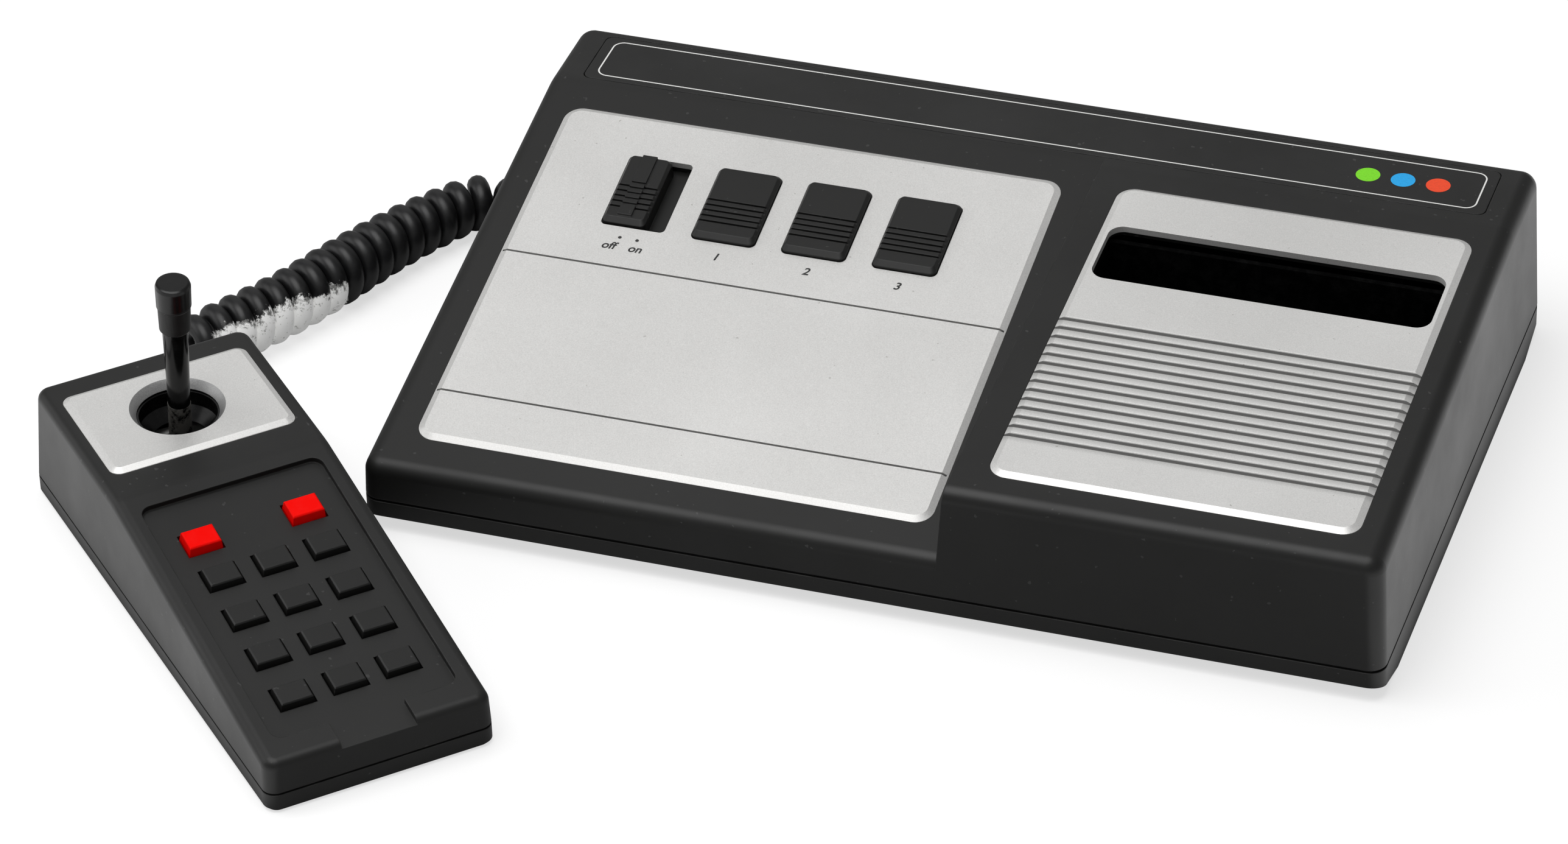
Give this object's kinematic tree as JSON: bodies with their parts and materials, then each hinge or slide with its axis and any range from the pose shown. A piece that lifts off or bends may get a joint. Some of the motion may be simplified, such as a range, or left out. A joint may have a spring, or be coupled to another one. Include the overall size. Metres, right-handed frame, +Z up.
{
  "type": "video game console",
  "caption": "Low black game console with silver key and cartridge panels, and a keypad and joystick hand controller on a curly cord.",
  "frame": {"origin": "centre of the console's flat underside, on the surface it stands on", "axes": "+X to the console's right, +Y to its rear, +Z up"},
  "size_m": [0.3967, 0.3219, 0.0834],
  "materials": {
    "black_casing": "fine-grained satin black",
    "black_moulding": "satin black",
    "black_gloss": "gloss black",
    "silver_panel": "matt silver with a fine grain",
    "red_gloss": "gloss red",
    "grey_moulding": "satin grey",
    "blue_moulding": "satin blue",
    "black_rubber": "matt black",
    "contact_rubber": "matt grey",
    "cord_sheath": "gloss black",
    "circuit_board": "green lacquered board",
    "chip": "matt black",
    "connector": "matt dark green",
    "capacitor_can": "satin dark blue",
    "aluminium": "bare",
    "steel": "tinned"
  },
  "bodies": {
    "base": {"upper_casing": "black_casing", "lower_tray": "black_casing", "control_panel": "silver_panel", "cartridge_panel": "silver_panel", "header_plate": "black_gloss", "switch_board": "circuit_board", "key_switches": "black_moulding", "power_switch": "steel", "cartridge_guide": "black_moulding", "cartridge_connector": "connector", "main_board": "circuit_board", "board_chips": "chip", "capacitors": "capacitor_can", "heat_sink": "aluminium", "rf_modulator": "steel", "power_socket": "black_moulding", "casing_screws": "steel", "console_cord_gland": "black_rubber", "handset_upper_shell": "black_casing", "handset_lower_shell": "black_casing", "joystick_plate": "silver_panel", "joystick_bowl": "black_gloss", "stick_yoke": "grey_moulding", "potentiometer_side": "blue_moulding", "keypad_sheet": "contact_rubber", "keypad_board": "circuit_board", "handset_screws": "steel", "handset_cord_gland": "black_rubber", "curly_cord": "cord_sheath"},
    "power_knob": {"power_slide_knob": "black_moulding"},
    "console_key_1_body": {"console_key_1": "black_moulding"},
    "console_key_2_body": {"console_key_2": "black_moulding"},
    "console_key_3_body": {"console_key_3": "black_moulding"},
    "keypad_key_1_body": {"keypad_key_1": "black_moulding"},
    "keypad_key_2_body": {"keypad_key_2": "black_moulding"},
    "keypad_key_3_body": {"keypad_key_3": "black_moulding"},
    "keypad_key_4_body": {"keypad_key_4": "black_moulding"},
    "keypad_key_5_body": {"keypad_key_5": "black_moulding"},
    "keypad_key_6_body": {"keypad_key_6": "black_moulding"},
    "keypad_key_7_body": {"keypad_key_7": "black_moulding"},
    "keypad_key_8_body": {"keypad_key_8": "black_moulding"},
    "keypad_key_9_body": {"keypad_key_9": "black_moulding"},
    "keypad_key_10_body": {"keypad_key_10": "black_moulding"},
    "keypad_key_11_body": {"keypad_key_11": "black_moulding"},
    "keypad_key_12_body": {"keypad_key_12": "black_moulding"},
    "fire_button_left_body": {"fire_button_left": "red_gloss"},
    "fire_button_right_body": {"fire_button_right": "red_gloss"},
    "stick_ring_body": {"stick_ring": "grey_moulding", "potentiometer_front": "blue_moulding"},
    "stick_body": {"stick_rod": "grey_moulding", "stick_sleeve": "black_gloss", "stick_cap": "black_moulding"}
  },
  "joints": [
    {"name": "power_slide", "type": "slide", "parent": "base", "child": "power_knob", "axis": [1, 0, 0], "range_m": [0, 0.006]},
    {"name": "console_key_1_press", "type": "slide", "parent": "base", "child": "console_key_1_body", "axis": [0, 0.2079, -0.9782], "range_m": [0, 0.002], "stiffness_N_per_m": 300},
    {"name": "console_key_2_press", "type": "slide", "parent": "base", "child": "console_key_2_body", "axis": [0, 0.2079, -0.9782], "range_m": [0, 0.002], "stiffness_N_per_m": 300},
    {"name": "console_key_3_press", "type": "slide", "parent": "base", "child": "console_key_3_body", "axis": [0, 0.2079, -0.9782], "range_m": [0, 0.002], "stiffness_N_per_m": 300},
    {"name": "keypad_key_1_press", "type": "slide", "parent": "base", "child": "keypad_key_1_body", "axis": [-0.1211, 0.1227, -0.985], "range_m": [0, 0.001], "stiffness_N_per_m": 300},
    {"name": "keypad_key_2_press", "type": "slide", "parent": "base", "child": "keypad_key_2_body", "axis": [-0.1211, 0.1227, -0.985], "range_m": [0, 0.001], "stiffness_N_per_m": 300},
    {"name": "keypad_key_3_press", "type": "slide", "parent": "base", "child": "keypad_key_3_body", "axis": [-0.1211, 0.1227, -0.985], "range_m": [0, 0.001], "stiffness_N_per_m": 300},
    {"name": "keypad_key_4_press", "type": "slide", "parent": "base", "child": "keypad_key_4_body", "axis": [-0.1211, 0.1227, -0.985], "range_m": [0, 0.001], "stiffness_N_per_m": 300},
    {"name": "keypad_key_5_press", "type": "slide", "parent": "base", "child": "keypad_key_5_body", "axis": [-0.1211, 0.1227, -0.985], "range_m": [0, 0.001], "stiffness_N_per_m": 300},
    {"name": "keypad_key_6_press", "type": "slide", "parent": "base", "child": "keypad_key_6_body", "axis": [-0.1211, 0.1227, -0.985], "range_m": [0, 0.001], "stiffness_N_per_m": 300},
    {"name": "keypad_key_7_press", "type": "slide", "parent": "base", "child": "keypad_key_7_body", "axis": [-0.1211, 0.1227, -0.985], "range_m": [0, 0.001], "stiffness_N_per_m": 300},
    {"name": "keypad_key_8_press", "type": "slide", "parent": "base", "child": "keypad_key_8_body", "axis": [-0.1211, 0.1227, -0.985], "range_m": [0, 0.001], "stiffness_N_per_m": 300},
    {"name": "keypad_key_9_press", "type": "slide", "parent": "base", "child": "keypad_key_9_body", "axis": [-0.1211, 0.1227, -0.985], "range_m": [0, 0.001], "stiffness_N_per_m": 300},
    {"name": "keypad_key_10_press", "type": "slide", "parent": "base", "child": "keypad_key_10_body", "axis": [-0.1211, 0.1227, -0.985], "range_m": [0, 0.001], "stiffness_N_per_m": 300},
    {"name": "keypad_key_11_press", "type": "slide", "parent": "base", "child": "keypad_key_11_body", "axis": [-0.1211, 0.1227, -0.985], "range_m": [0, 0.001], "stiffness_N_per_m": 300},
    {"name": "keypad_key_12_press", "type": "slide", "parent": "base", "child": "keypad_key_12_body", "axis": [-0.1211, 0.1227, -0.985], "range_m": [0, 0.001], "stiffness_N_per_m": 300},
    {"name": "fire_button_left_press", "type": "slide", "parent": "base", "child": "fire_button_left_body", "axis": [-0.1211, 0.1227, -0.985], "range_m": [0, 0.001], "stiffness_N_per_m": 300},
    {"name": "fire_button_right_press", "type": "slide", "parent": "base", "child": "fire_button_right_body", "axis": [-0.1211, 0.1227, -0.985], "range_m": [0, 0.001], "stiffness_N_per_m": 300},
    {"name": "stick_front_back", "type": "hinge", "parent": "base", "child": "stick_ring_body", "pos_m": [-0.20145, -0.10314, 0.0205], "axis": [0.7115, 0.7027, 0], "range_deg": [-20.5, 9.5]},
    {"name": "stick_left_right", "type": "hinge", "parent": "stick_ring_body", "child": "stick_body", "pos_m": [-0.20145, -0.10314, 0.0205], "axis": [-0.6995, 0.7082, 0.0959], "range_deg": [-15, 15]}
  ]
}
